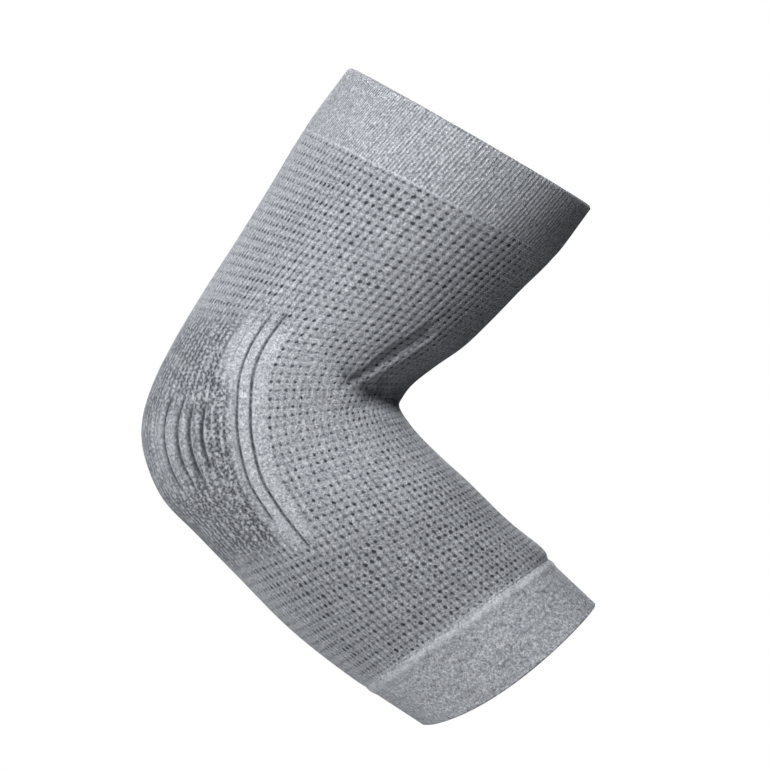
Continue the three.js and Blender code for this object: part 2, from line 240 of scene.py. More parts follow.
class Form:
    """The smooth form of the whole sleeve, in metres, without any wall or knit."""

    def __init__(self, sizes):
        """The two edges of the bend plane and the width, one row for each section."""
        self.sizes = sizes
        elbow = corners(np.zeros(2), sizes.elbow_turn, sizes.elbow_depth)
        top = direction(sizes.upper_lift) * sizes.upper_reach
        hem = direction(-sizes.fore_drop) * sizes.fore_reach
        ends = {
            "upper": (*corners(top, sizes.top_turn, sizes.top_depth), sizes.top_width),
            "elbow": (*elbow, sizes.elbow_width),
            "fore": (*corners(hem, sizes.hem_turn, sizes.hem_depth), sizes.hem_width),
        }
        rows = []
        for section in SECTIONS:
            outer, inner, width = ends[section.arm]
            out = -sizes.elbow_depth if section.arm == "fore" else sizes.elbow_depth
            along = (section.outer_along + section.inner_along) / 2
            rows.append((
                *bowed(elbow[0], outer, section.outer_along, out * section.outer_bow),
                *bowed(elbow[1], inner, section.inner_along, -out * section.inner_bow),
                section.width * (sizes.elbow_width + along * (width - sizes.elbow_width)),
            ))
        rows = np.array(rows)
        self.outer, self.inner, self.width = rows[:, :2], rows[:, 2:4], rows[:, 4]
        self.places = np.linspace(0, LAST, STEPS * LAST + 1)
        middles = sum(smooth_through(edge, self.places) for edge in (self.outer, self.inner)) / 2
        steps = np.linalg.norm(np.diff(middles, axis=0), axis=1)
        self.lengths = np.concatenate([[0], np.cumsum(steps)])
        self.length = self.lengths[-1]
        self.lower_seam = self.length - sizes.lower_cuff_height

    def place(self, length):
        """The place, counted in sections, at a length from the top edge along the middle."""
        return np.interp(length, self.lengths, self.places)

    def fold_share(self, x, z):
        """What the folds leave of the width: 1 less a bump across each fold, which falls away more
        slowly on one side than on the other."""
        left = np.ones_like(x)
        size = self.sizes.elbow_depth
        for fold in FOLDS:
            along, off = along_runs(x, z, fold, size)
            above, below = (side[0] + along * (side[1] - side[0]) for side in (fold.above, fold.below))
            across = bump(off, np.where(off > 0, above, below) * size)
            left -= (fold.draw[0] + along * (fold.draw[1] - fold.draw[0])) * across
        return left

    def side_power(self, x, z):
        """How round the sides are at a point: one value above the deep fold and one below it."""
        above, below = CROOK_SIDES
        off = along_runs(x, z, DEEP_FOLD, self.sizes.elbow_depth)[1] / self.sizes.elbow_depth
        height = z / self.sizes.elbow_depth
        below = below + (HEM_SIDES - below) * smoothstep(-height, *HEM_CHANGE)
        above = above + (TOP_SIDES - above) * smoothstep(height, *TOP_CHANGE)
        return below + (above - below) * smoothstep(off, *CROOK_CHANGE)

    def leaned(self, length, round_):
        """Where a line of the knit lies round the sleeve: it twists evenly along the arm, and
        beside the elbow it leans to the back, most at one share of the way round and not at all at
        the back and the crook."""
        share = self.elbow_share(length)
        near = np.minimum(round_, 2 - round_)
        lean = np.where(share < 0, *LEANS) * (1 - np.exp(-((share / LEAN_REACH) ** 2)))
        shift = lean * smoothstep(near, 0, LEAN_PEAK) * (1 - smoothstep(near, LEAN_PEAK, 1))
        return np.where(round_ > 1, round_ + shift, round_ - shift) - TWIST * share

    def creased(self, x, z):
        """How far the knit stands out for the creases: a bump across each, which fades towards its
        ends."""
        size = self.sizes.elbow_depth
        rise = np.zeros_like(x)
        for crease in CREASES:
            along, off = along_runs(x, z, crease, size)
            rise += crease.rise * size * np.sqrt(4 * along * (1 - along)) * bump(off, crease.reach * size)
        return rise

    def puff(self, length):
        """How far the body's end stands out above the lower cuff: it rises fast from the seam and
        dies away slowly up the sleeve."""
        sizes = self.sizes
        above = np.maximum(self.lower_seam - length, 0)
        rise = 1 - np.exp(-above / sizes.puff_shoulder)
        return sizes.puff_rise * rise * np.exp(-((above / sizes.puff_length) ** 2))

    def hem_drop(self, length):
        """How far the knit runs on past its section in the lower cuff: nothing at the raised band,
        growing evenly to the hem."""
        band_end = self.lower_seam + self.sizes.ridge_height
        return self.sizes.hem_bulge * np.maximum(0, (length - band_end) / (self.length - band_end))

    def slanted(self, length, round_):
        """The lower seam lies nearer the elbow on the crook side, and the rows beside it lean with
        it: a bump along the sleeve times the cosine round it."""
        lean = bump(length - self.lower_seam, self.sizes.lower_cuff_height)
        return length + self.sizes.seam_slant * np.cos(round_ * pi) * lean

    def elbow_share(self, length):
        """How far a point is along the sleeve from the tip of the elbow, as a share of the elbow's
        depth: negative above it."""
        return (length - np.interp(ELBOW, self.places, self.lengths)) / self.sizes.elbow_depth

    def points(self, length, round_, inset):
        """Points of the tube: an ellipse from the outer edge (round 0) by the near side to the
        inner edge (round 1) and back by the far side, with its sides raised to a power on the
        crook side, less the inset, drawn in by the folds."""
        place = self.place(self.slanted(length, round_))
        outer = smooth_through(self.outer, place)
        inner = smooth_through(self.inner, place)
        before = np.clip(place.astype(int), 0, LAST - 1)
        ease = smoothstep(place - before, 0, 1)
        half_width = (self.width[before] + ease * (self.width[before + 1] - self.width[before])) / 2
        middle, half = (outer + inner) / 2, (inner - outer) / 2
        depth = np.linalg.norm(half, axis=-1)
        turned = -np.cos(round_ * pi)
        shrunk = turned * (1 - inset / depth)
        skin = middle + half * turned[..., None]
        point = middle + half * shrunk[..., None]
        across = np.sin(round_ * pi)
        power = np.where(turned > 0, self.side_power(skin[..., 0], skin[..., 1]), 1)
        fuller = np.sign(across) * np.abs(across) ** power
        side = fuller * (half_width - inset) * self.fold_share(skin[..., 0], skin[..., 1])
        drop = self.hem_drop(length) * np.abs(across) ** self.sizes.hem_fullness
        drop = drop * (1 - self.sizes.hem_lean * turned)
        fore = direction(-self.sizes.fore_drop)
        return np.stack([point[..., 0] + fore[0] * drop, -side, point[..., 1] + fore[1] * drop], -1)


def groove_share(share, near):
    """How deep each groove is, from 0 to its depth, and how far the painted shade of its bottom fills, from 0
    to 1.
    """
    depth, groove_bottom_shade = 0, 0
    for groove in GROOVES:
        within = np.minimum(share - groove.start, groove.end - share)
        line = groove.round + groove.bow * (share / groove.end) ** 2
        shape = smoothstep(within, 0, GROOVE_FADE) * bump(near - line, groove.reach)
        depth = depth + groove.depth * shape
        groove_bottom_shade = groove_bottom_shade + np.minimum(groove.depth, 1) * shape
    return depth, np.minimum(groove_bottom_shade, 1)


def patch_length(share):
    """1 between the upper and lower ends of the elbow patch, with soft edges."""
    return smoothstep(share, *PATCH_BEGIN) * (1 - smoothstep(share, *PATCH_END))


def patch_share(share, near):
    """1 on the dense elbow patch and 0 off it. It reaches to the first long groove at the elbow
    and less far above, and pales towards the back of the arm, and between the short grooves at the
    tip of the elbow."""
    edge = PATCH_EDGE - PATCH_NARROWER * smoothstep(-share, *PATCH_NARROWS)
    beside = 1 - smoothstep(near, edge - 0.04, edge + 0.01)
    back = smoothstep(near, -0.04, 0.08)
    tip = PATCH_TIP * bump(near - 0.22, 0.16) * bump(share, 0.2)
    return patch_length(share) * beside * back * (1 - tip)


def eyelet_share(share, near, placed):
    """How far the eyelets open, as a product of five shares: none on the patch, 0.45 less beside
    it, half at the back of the arm, 0.55 less on the inner side of the upper arm, and on the
    forearm 0.35 less at the crook side and 0.2 more elsewhere."""
    off_patch = 1 - patch_length(share) * (1 - smoothstep(near, 0.475, 0.505))
    beside = 1 - 0.45 * bump(share, 0.75) * bump(near - 0.6, 0.36)
    back = 0.5 + 0.5 * smoothstep(placed, 0.04, 0.24)
    inner = 1 - 0.55 * smoothstep(placed, 0.76, 0.84) * (1 - smoothstep(share, -0.1, 0.1))
    fore = (1 - 0.35 * smoothstep(placed, 0.86, 0.97)) * (1 + 0.2 * smoothstep(share, 0.3, 0.6))
    return off_patch * beside * back * inner * fore


# Meshes

# The angles of the two points that round each corner of a rim
CORNER = np.radians((22.5, 67.5))


def profile(start, end, wall, shares, inner_rows, turns):
    """The line that is carried round the tube: down the outer skin by shares of its length, round
    the lower rim, up the inner skin and round the upper rim. Turns are the radii of the upper and
    lower rim's corners. It gives each point's length and inset, and 1 on the outer skin, where the
    knit's relief is, and 0 elsewhere."""
    upper, lower = turns
    outer = start + upper + shares * (end - lower - start - upper)
    inner = np.linspace(end - lower, start + upper, inner_rows)
    out, back = np.sin(CORNER), np.cos(CORNER)
    length = np.concatenate([
        outer, end - lower + lower * out, end - lower + lower * back,
        inner, start + upper - upper * out, start + upper - upper * back,
    ])
    inset = np.concatenate([
        outer * 0, lower - lower * back, wall - lower + lower * out,
        inner * 0 + wall, wall - upper + upper * back, upper - upper * out,
    ])
    skin = np.zeros_like(length)
    skin[:len(outer)] = 1
    return length, inset, skin


def course_places(share):
    """Where along the body a share of its courses ends: their spacing follows a cosine, closest on
    the upper arm and widest below the elbow."""
    turn = 2 * pi * COURSE_CLOSEST
    return share - COURSE_STRETCH / (2 * pi) * (np.sin(2 * pi * share - turn) + np.sin(turn))


def wales_round(count, fine=None):
    """Where the mesh's lines lie round the sleeve, counted in wales: four to a wale, and eight
    between the two places of fine, on both sides of the arm."""
    near = (np.arange(count) + 0.5) * 2 / count
    near = np.minimum(near, 2 - near)
    steps = np.full(count, 4)
    if fine:
        steps[(near > fine[0]) & (near < fine[1])] = 8
    step = np.arange(steps.sum()) - np.repeat(np.cumsum(steps) - steps, steps)
    return np.repeat(np.arange(count), steps) + step / np.repeat(steps, steps)


def normals(points):
    """The unit normals of a grid that closes on itself both ways: the cross product of the steps
    between the neighbours along it and round it."""
    along = np.roll(points, -1, 0) - np.roll(points, 1, 0)
    around = np.roll(points, -1, 1) - np.roll(points, 1, 1)
    across = np.cross(along, around)
    return across / np.maximum(np.linalg.norm(across, axis=-1, keepdims=True), 1e-12)


def closed_grid(name, points, uv, shades):
    """A mesh of four-sided faces on a grid that closes both ways, with a UV map in counts of wales
    and courses, and one attribute for each shade."""
    rows, columns = points.shape[:2]
    mesh = bpy.data.meshes.new(name)
    index = np.arange(rows * columns).reshape(rows, columns)
    below, beside = np.roll(index, -1, 0), np.roll(index, -1, 1)
    faces = np.stack([index, below, np.roll(below, -1, 1), beside], -1).reshape(-1, 4)
    mesh.vertices.add(rows * columns)
    mesh.vertices.foreach_set("co", points.reshape(-1).astype(np.float32))
    mesh.loops.add(faces.size)
    mesh.loops.foreach_set("vertex_index", faces.reshape(-1).astype(np.int32))
    mesh.polygons.add(len(faces))
    mesh.polygons.foreach_set("loop_start", np.arange(0, faces.size, 4, dtype=np.int32))
    mesh.polygons.foreach_set("use_smooth", np.ones(len(faces), bool))
    wale, course, wales = uv
    next_wale = np.append(wale[1:], wale[0] + wales)
    next_course = np.append(course[1:], course[0])
    corner = np.empty((rows, columns, 4, 2), np.float32)
    corner[..., 0, 0], corner[..., 1, 0] = wale, wale
    corner[..., 2, 0], corner[..., 3, 0] = next_wale, next_wale
    corner[..., 0, 1], corner[..., 3, 1] = course[:, None], course[:, None]
    corner[..., 1, 1], corner[..., 2, 1] = next_course[:, None], next_course[:, None]
    mesh.uv_layers.new(name="knit").data.foreach_set("uv", corner.reshape(-1))
    for shade, values in shades.items():
        values = np.broadcast_to(values, (rows, columns)).reshape(-1)
        attribute = mesh.attributes.new(shade, "FLOAT", "POINT")
        attribute.data.foreach_set("value", values.astype(np.float32))
    mesh.update()
    mesh.validate()
    return mesh


def nearness(round_):
    """How far round a place is from the back of the arm (0) to the crook (1), on either side."""
    return 1 - np.abs(1 - np.mod(round_, 2))


# A narrow row of faces beside each seam of the body, as a share of a course, which keeps it crisp
SEAM_ROW = 0.06

# How far the first row of eyelets has begun at the upper seam, as a share of a course
FIRST_COURSE = 0.5

# Over which lengths from the upper and lower seams the eyelets begin and end
EYELET_FADES = (2 * MM, 3 * MM)

# What is left of the puff at the back of the arm, and from where round to the crook it grows
PUFF_BACK = 0.12
PUFF_FROM = 0.6

# The middle and half the width of the raised band's bulge, as shares of the band's height
BAND_MIDDLE = 0.65
BAND_REACH = 0.75

# Rows of points down the outer and the inner skin of both cuffs, and down the body's inner skin,
# and the places round the body between which the lines lie twice as close, for the grooves
UPPER_ROWS = (17, 6)
LOWER_ROWS = (50, 8)
BODY_INNER_ROWS = 26
FINE_WALES = (0.1, 0.48)

Knit = namedtuple("Knit", "length course round near placed")


def tube(name, form, line, wale, wales, courses, relief, shades):
    """A closed wall: the profile carried round the form, then moved out along its own normals by
    the relief, and added to the scene. Courses gives the count of courses at a length."""
    length, inset, skin = line
    course = courses(length)
    lengths, rounds = np.broadcast_arrays(length[:, None], wale[None] * 2 / wales)
    placed = form.leaned(lengths, rounds)
    knit = Knit(lengths, course[:, None], rounds, nearness(rounds), nearness(placed))
    points = form.points(lengths, placed, np.broadcast_to(inset[:, None], lengths.shape))
    raised = relief(knit, points) * skin[:, None]
    points = points + normals(points) * raised[..., None]
    mesh = closed_grid(name, points, (wale, course, wales), shades(knit))
    piece = bpy.data.objects.new(name, mesh)
    bpy.context.scene.collection.objects.link(piece)
    return piece


# Materials

# How large the lumps of noise are that make the knit uneven: in clumps and single fibres of the
# yarn, on the eyelets' frayed rims, in the patch, in the hem, in the painted shade of the grooves and
# rib valleys and the painted highlight of the raised band, and over stretches of knit that are pulled wider
CLUMP = 1.1 * MM
FIBRE = 0.6 * MM
FRAY = 0.9 * MM
PEPPER = 1.2 * MM
FLECK = 1.3 * MM
GROOVE_SHADE_GRAIN = 1.5 * MM
RIB_SHADE_GRAIN = 2 * MM
BAND_HIGHLIGHT_GRAIN = 3 * MM
PULL = 12 * MM

RIBS_TO_A_WALE = 2


def add(tree, kind, inputs=(), **settings):
    """Add a node, give it its settings, and set or link each input that is named."""
    node = tree.nodes.new(kind)
    for key, value in settings.items():
        setattr(node, key, value)
    for key, value in dict(inputs).items():
        value = value.socket if isinstance(value, Value) else value
        if isinstance(value, bpy.types.NodeSocket):
            tree.links.new(value, node.inputs[key])
        else:
            node.inputs[key].default_value = value
    return node


class Value:
    """A number that a node tree works out at each point. Arithmetic on it adds the nodes for it."""

    def __init__(self, tree, socket):
        self.tree, self.socket = tree, socket

    def maths(self, operation, other=0):
        """One operation of the Math node on this value, and on another where it takes two."""
        node = add(self.tree, "ShaderNodeMath", {0: self, 1: other}, operation=operation)
        return Value(self.tree, node.outputs[0])

    def __add__(self, other):
        return self.maths("ADD", other)

    def __sub__(self, other):
        return self.maths("SUBTRACT", other)

    def __mul__(self, other):
        return self.maths("MULTIPLY", other)

    def __abs__(self):
        return self.maths("ABSOLUTE")

    def spread(self, low, high, to_low=0, to_high=1):
        """This value carried smoothly from one range to another, and held there."""
        inputs = {"Value": self, 1: low, 2: high, 3: to_low, 4: to_high}
        node = add(self.tree, "ShaderNodeMapRange", inputs, interpolation_type="SMOOTHSTEP")
        return Value(self.tree, node.outputs[0])


def empty_tree(owner):
    """The node tree of a material or world, without any nodes."""
    owner.use_nodes = True
    owner.node_tree.nodes.clear()
    return owner.node_tree


def mixed(tree, share, first, second):
    """A colour between two, each a linear colour or a socket."""
    inputs = {0: share}
    for key, colour in ((6, first), (7, second)):
        inputs[key] = colour if isinstance(colour, bpy.types.NodeSocket) else (*colour, 1)
    return add(tree, "ShaderNodeMix", inputs, data_type="RGBA", clamp_factor=True).outputs[2]


def noise(tree, place, grain, detail=2):
    """Noise whose lumps are about one grain across, in metres."""
    inputs = {"Vector": place, "Scale": 1 / grain, "Detail": detail}
    return Value(tree, add(tree, "ShaderNodeTexNoise", inputs).outputs[0])


def chance_at(tree, column, row):
    """A number from 0 to 1 that is different for each column and row."""
    crossing = add(tree, "ShaderNodeCombineXYZ", {0: column, 1: row}).outputs[0]
    node = add(tree, "ShaderNodeTexWhiteNoise", {"Vector": crossing}, noise_dimensions="2D")
    return Value(tree, node.outputs[0])


def attribute(tree, name):
    """A shade of the mesh."""
    return Value(tree, add(tree, "ShaderNodeAttribute", attribute_name=name).outputs["Fac"])


def heather(tree, place, look):
    """The colour of a yarn spun from dark, middle and light fibres. The fibres are far finer than a
    pixel, so their clumps are drawn about 1.1 and 0.6 mm long, as coarse as they need to show."""
    fibres = noise(tree, place, CLUMP, 3) * 0.55 + noise(tree, place, FIBRE, 1) * 0.45
    lighter = mixed(tree, fibres.spread(0.5, 0.64), look.yarn, look.light_yarn)
    return mixed(tree, fibres.spread(0.5, 0.36), lighter, look.dark_yarn)


def knit_material(name, look, surface):
    """A dull cotton and nylon knit: rough, with a faint fuzz of loose fibres at grazing angles."""
    material = bpy.data.materials.new(name)
    tree = empty_tree(material)
    place = add(tree, "ShaderNodeTexCoord").outputs["Object"]
    uv = add(tree, "ShaderNodeUVMap", uv_map="knit").outputs[0]
    counts = add(tree, "ShaderNodeSeparateXYZ", {0: uv}).outputs
    across, along = Value(tree, counts[0]), Value(tree, counts[1])
    colour, height = surface(tree, place, across, along, look)
    relief = {"Strength": 1, "Distance": look.loop_height, "Height": height}
    shader = add(tree, "ShaderNodeBsdfPrincipled", {
        "Base Color": colour,
        "Roughness": 0.92,
        "IOR": 1.45,
        "Specular IOR Level": 0.25,
        "Sheen Weight": 0.28,
        "Sheen Roughness": 0.5,
        "Sheen Tint": (0.85, 0.92, 1, 1),
        "Normal": add(tree, "ShaderNodeBump", relief).outputs[0],
    })
    add(tree, "ShaderNodeOutputMaterial", {0: shader.outputs[0]})
    return material


def loops(across, along, wide, high):
    """The height of plain knit: columns of V-shaped loops, each leg a slanted wave that is highest
    in the middle of its leg. Wide and high are loops per wale and per course."""
    slant = abs((across * wide).maths("FRACT") - 0.5)
    wave = ((along * high + slant) * (2 * pi)).maths("SINE")
    leg = (slant * (2 * pi)).maths("SINE")
    return (wave * 0.5 + 0.5) * leg


def nearest(count):
    """How far a count is from the nearest whole number, and that number."""
    whole = count.maths("ROUND")
    return count - whole, whole


def body_surface(tree, place, across, along, look):
    """Eyelets at the crossings of wales and courses, wider in every second wale and painted dark as the
    shade of the sleeve's inside seen through them, with fine specks between them, a shallow valley
    down each wale and round each course with painted shade in it, the small dense stitches of the
    patch, and painted shade in the groove bottoms."""
    groove, patch, holes = (attribute(tree, name) for name in ("groove", "patch", "holes"))
    off_wale, wale = nearest(across)
    off_course, course = nearest(along)

    # An eyelet is painted dark, as the shade of the sleeve's inside seen through it, within a frayed rim,
    # which lies further out the wider the eyelet opens.
    chance = chance_at(tree, wale, course)
    second = wale.maths("PINGPONG", 1).spread(0, 1, 0.75, 1)
    pulled = noise(tree, place, PULL, 1).spread(0.35, 0.65, 0.7, 1.12)
    opening = holes * chance.spread(0, 1, 0.75, 1) * second * pulled
    beside = off_wale * look.eyelet_stretch
    away = (beside * beside + off_course * off_course).maths("SQRT")
    rim = away + (noise(tree, place, FRAY, 1) - 0.5) * 0.22 - opening * 0.11
    eyelet = rim.spread(0.19, 0.04) * opening.spread(0, 0.5) * chance.spread(0, 1, 0.55, 1)

    # A speck lies in the middle of four eyelets, and shows most where they are widest.
    off_column, column = nearest(across + 0.5)
    off_row, row = nearest(along + 0.5)
    speck = abs(off_column).spread(0.22, 0.04) * abs(off_row).spread(0.22, 0.04)
    speck = speck * holes.spread(0.95, 1.2, 0.05, 1)
    speck = speck * chance_at(tree, column, row).spread(0.1, 0.9, 0.1, 0.75)

    # The knit sinks along each wale, and a little less along each course, and these valleys get painted
    # shade.
    course_valley = abs(off_course).spread(0.4, 0.05) * 0.8
    valley = abs(off_wale).spread(0.4, 0.05).maths("MAXIMUM", course_valley) * holes * 0.3

    # Open knit gets painted shade, for the dark inside showing through it, and the yarn differs a little from
    # wale to wale.
    strand = add(tree, "ShaderNodeTexWhiteNoise", {"W": wale}, noise_dimensions="1D").outputs[0]
    inside_shade_and_strand = holes * 0.14 + Value(tree, strand) * 0.08

    # The ribs of the patch have small dark ticks at their sides, half a row on in each next rib.
    off_rib, rib = nearest(across * look.patch_ribs)
    off_stitch, stitch_row = nearest(along * look.patch_rows + rib * 0.5)
    tone = chance_at(tree, rib, stitch_row)
    tick = abs(off_rib).spread(0.1, 0.32) * abs(off_stitch).spread(0.05, 0.35, 0.35, 1)
    tick = tick * tone.spread(0, 0.7, 0.35, 1)
    pepper = noise(tree, place, PEPPER, 1).spread(0.5, 0.6) * 0.8
    stitch = tick.maths("MAXIMUM", pepper) * patch
    deep = tone.spread(0.5, 1) * patch * 0.2

    # Painted shade in the groove bottoms, broken up in patches by noise.
    patchy = noise(tree, place, GROOVE_SHADE_GRAIN).spread(0.35, 0.6, 0.6, 0.95)
    groove_bottom_shade = groove.spread(0.12, 0.9) * patchy
    colour = mixed(tree, patch * 0.12, heather(tree, place, look), look.patch_yarn)
    for share in (inside_shade_and_strand, valley, speck, stitch, deep, eyelet, groove_bottom_shade):
        colour = mixed(tree, share, colour, look.shade)
    height = loops(across, along, 3, 3) * 0.5 + noise(tree, place, FIBRE)
    return colour, height - eyelet * 1.2 - valley - stitch * 0.8


def ribbed_surface(tree, place, across, along, look):
    """Fine ribs along the arm whose valleys carry broken painted shade, deeper in every second."""
    off_rib, rib = nearest(across * RIBS_TO_A_WALE)
    broken = noise(tree, place, RIB_SHADE_GRAIN).spread(0.3, 0.6, 0.5, 1)
    second = rib.maths("PINGPONG", 1).spread(0, 1, 1, 0.8)
    valley = abs(off_rib).spread(0.5, 0.1) * broken * second
    # Painted shade in the valleys between the ribs.
    colour = mixed(tree, valley * 0.6, heather(tree, place, look), look.shade)
    height = loops(across, along, 2, 4) * 0.4 + noise(tree, place, FIBRE)
    return colour, height - valley * 0.8


def plain_surface(tree, place, across, along, look):
    """Plain loops with scattered darker flecks and short streaks across the wales, and a painted
    highlight on the raised band."""
    fleck = noise(tree, place, FLECK).spread(0.54, 0.68, 0.06, 0.4)
    flat = add(tree, "ShaderNodeCombineXYZ", {0: across * 0.25, 1: along * 2}).outputs[0]
    streak = noise(tree, flat, 1, 1).spread(0.45, 0.7, 0, 0.2)
    patchy = noise(tree, place, BAND_HIGHLIGHT_GRAIN).spread(0.35, 0.6, 0.3, 1)
    colour = mixed(tree, fleck + streak, heather(tree, place, look), look.shade)
    # A painted highlight on the raised band, broken up in patches by noise.
    colour = mixed(tree, attribute(tree, "band_highlight") * patchy * 0.45, colour, look.light_yarn)
    return colour, loops(across, along, 3, 4) * 0.5 + noise(tree, place, FIBRE)


# Properties

def number(name, description, value, **settings):
    """A property that is a number, a plain one unless its settings say more."""
    return FloatProperty(name=name, description=description, default=value, **settings)


def millimetres(name, description, value):
    """A length property, given in millimetres and kept in metres."""
    return number(name, description, value * MM, unit="LENGTH", subtype="DISTANCE", precision=5)


def degrees(name, description, value):
    """An angle property, given in degrees and kept in radians."""
    return number(name, description, radians(value), unit="ROTATION", subtype="ANGLE")


def yarn_colour(name, description, hex_colour):
    """A colour property, given as sRGB hex and kept linear."""
    return FloatVectorProperty(
        name=name,
        description=description,
        default=linear(hex_colour),
        subtype="COLOR",
        size=3,
        min=0,
        max=1,
    )


class SleeveSizes(bpy.types.PropertyGroup):
    """The sizes of the sleeve's form."""

    elbow_depth: millimetres("Elbow depth", "From the tip of the elbow to the crook", 98.8)
    elbow_width: millimetres("Elbow width", "Across the elbow, from side to side", 80)
    elbow_turn: degrees("Elbow turn", "From level to the line from the tip to the crook", 10)
    upper_reach: millimetres("Upper reach", "From the middle of the elbow to the middle of the top edge", 134)
    upper_lift: degrees("Upper lift", "How steeply the upper arm rises", 55.5)
    top_depth: millimetres("Top depth", "Along the top edge, as seen from the side", 106)
    top_width: millimetres("Top width", "Across the top edge", 90)
    top_turn: degrees("Top turn", "From level to the top edge", -30)
    fore_reach: millimetres("Forearm reach", "From the middle of the elbow to the middle of the hem", 127.8)
    fore_drop: degrees("Forearm drop", "How steeply the forearm falls", 44.8)
    hem_depth: millimetres("Hem depth", "Along the hem, as seen from the side", 80)
    hem_width: millimetres("Hem width", "Across the hem", 66)
    hem_turn: degrees("Hem turn", "From level to the hem", 35)
    hem_bulge: millimetres("Hem bulge", "How far the middle of the hem stands past its corners", 6)
    hem_fullness: number("Hem fullness", "A lower number makes a fuller curve", 1.5)
    hem_lean: number("Hem lean", "How much fuller the hem's curve is at the back", 0.3)
    knit_wall: millimetres("Knit wall", "Thickness of the body's knit", 1.9)
    cuff_wall: millimetres("Cuff wall", "Thickness of the turned cuffs", 2.4)
    upper_cuff_height: millimetres("Upper cuff height", "From the top edge to the body", 26.5)
    lower_cuff_height: millimetres("Lower cuff height", "From the body to the hem, along the edges", 26.1)
    seam_slant: millimetres("Seam slant", "How far the lower seam leans up on the crook side", 2.6)
    ridge_height: millimetres("Band height", "The raised band at the top of the lower cuff", 3.8)
    ridge_rise: millimetres("Band rise", "How far that band stands out", 0.4)
    puff_rise: millimetres("Puff rise", "How far the body's end stands out above the lower cuff", 1.8)
    puff_length: millimetres("Puff length", "How far up the sleeve the puff reaches", 18)
    puff_shoulder: millimetres("Puff shoulder", "How quickly the body's end turns in to the seam", 2)


class SleeveKnit(bpy.types.PropertyGroup):
    """The pattern of the knit and the colours of its yarn."""

    wales: IntProperty(name="Wales", description="Columns of eyelets round the body", default=108, min=8)
    course: millimetres("Course", "From one row of eyelets to the next", 3.4)
    patch_ribs: number("Patch ribs", "Fine ribs of the elbow patch to one wale", 5 / 6)
    patch_rows: number("Patch rows", "Rows of small stitches of the patch to one course", 1.5)
    eyelet_depth: millimetres("Eyelet depth", "How deep the knit dips at an eyelet", 0.5)
    eyelet_stretch: number("Eyelet stretch", "Length of an eyelet against its width", 0.9)
    groove_depth: millimetres("Groove depth", "Depth of an elbow groove whose share is 1", 1.2)
    rib_rise: millimetres("Rib rise", "How far a rib of the upper cuff stands out", 0.2)
    seam_turn: millimetres("Seam turn", "The rounding of the knit at a seam", 0.05)
    loop_height: millimetres("Loop height", "Relief of one knitted loop", 0.22)
    dark_yarn: yarn_colour("Dark fibres", "The darkest fibres of the heather yarn", "#85888E")
    yarn: yarn_colour("Yarn", "The usual colour of the yarn", "#AFB2B8")
    light_yarn: yarn_colour("Light fibres", "The lightest fibres of the heather yarn", "#D6D9DE")
    patch_yarn: yarn_colour("Patch yarn", "The denser yarn of the elbow patch", "#7B7E84")
    shade: yarn_colour("Shade", "The dark between the loops, in eyelets and grooves", "#3A3C42")


# Operators

def finish(piece, node, material):
    """Give a piece its material, let it ride on the sleeve and stand for its solid."""
    piece.data.materials.append(material)
    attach(piece, BODY)
    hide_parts(node)


def declare(depth, width, height):
    """The girth of a piece as stretched cloth, pi times the mean of its depth and width, and its flat
    width, five sixths of that, as the knit was made about a sixth narrower than the arm. Neither is kept."""
    girth = pi * (depth + width) / 2
    girth * 5 / 6


class SLEEVE_OT_upper_cuff(bpy.types.Operator):
    """Knit the ribbed cuff round the upper arm"""

    bl_idname = "sleeve.upper_cuff"
    bl_label = "Upper cuff"

    def execute(self, context):
        sizes, look = context.scene.sleeve_sizes, context.scene.sleeve_knit
        form = Form(sizes)

        def relief(knit, points):
            """Ribs along the arm, a rounded rise for each one, which fade over the last course."""
            fade = smoothstep(sizes.upper_cuff_height - knit.length, 0, look.course)
            ribs = np.abs(np.sin(knit.round * look.wales * RIBS_TO_A_WALE * pi / 2))
            return look.rib_rise * ribs * fade

        turns = (sizes.cuff_wall / 2, look.seam_turn)
        outer_rows, inner_rows = UPPER_ROWS
        shares = np.linspace(0, 1, outer_rows)
        line = profile(0, sizes.upper_cuff_height, sizes.cuff_wall, shares, inner_rows, turns)
        cuff = tube(
            "upper_cuff_knit", form, line, wales_round(look.wales), look.wales,
            lambda length: length / look.course, relief, lambda knit: {},
        )
        finish(cuff, "upper_cuff", knit_material("Ribbed heather knit", look, ribbed_surface))
        declare(sizes.top_depth, sizes.top_width, sizes.upper_cuff_height)
        return {"FINISHED"}


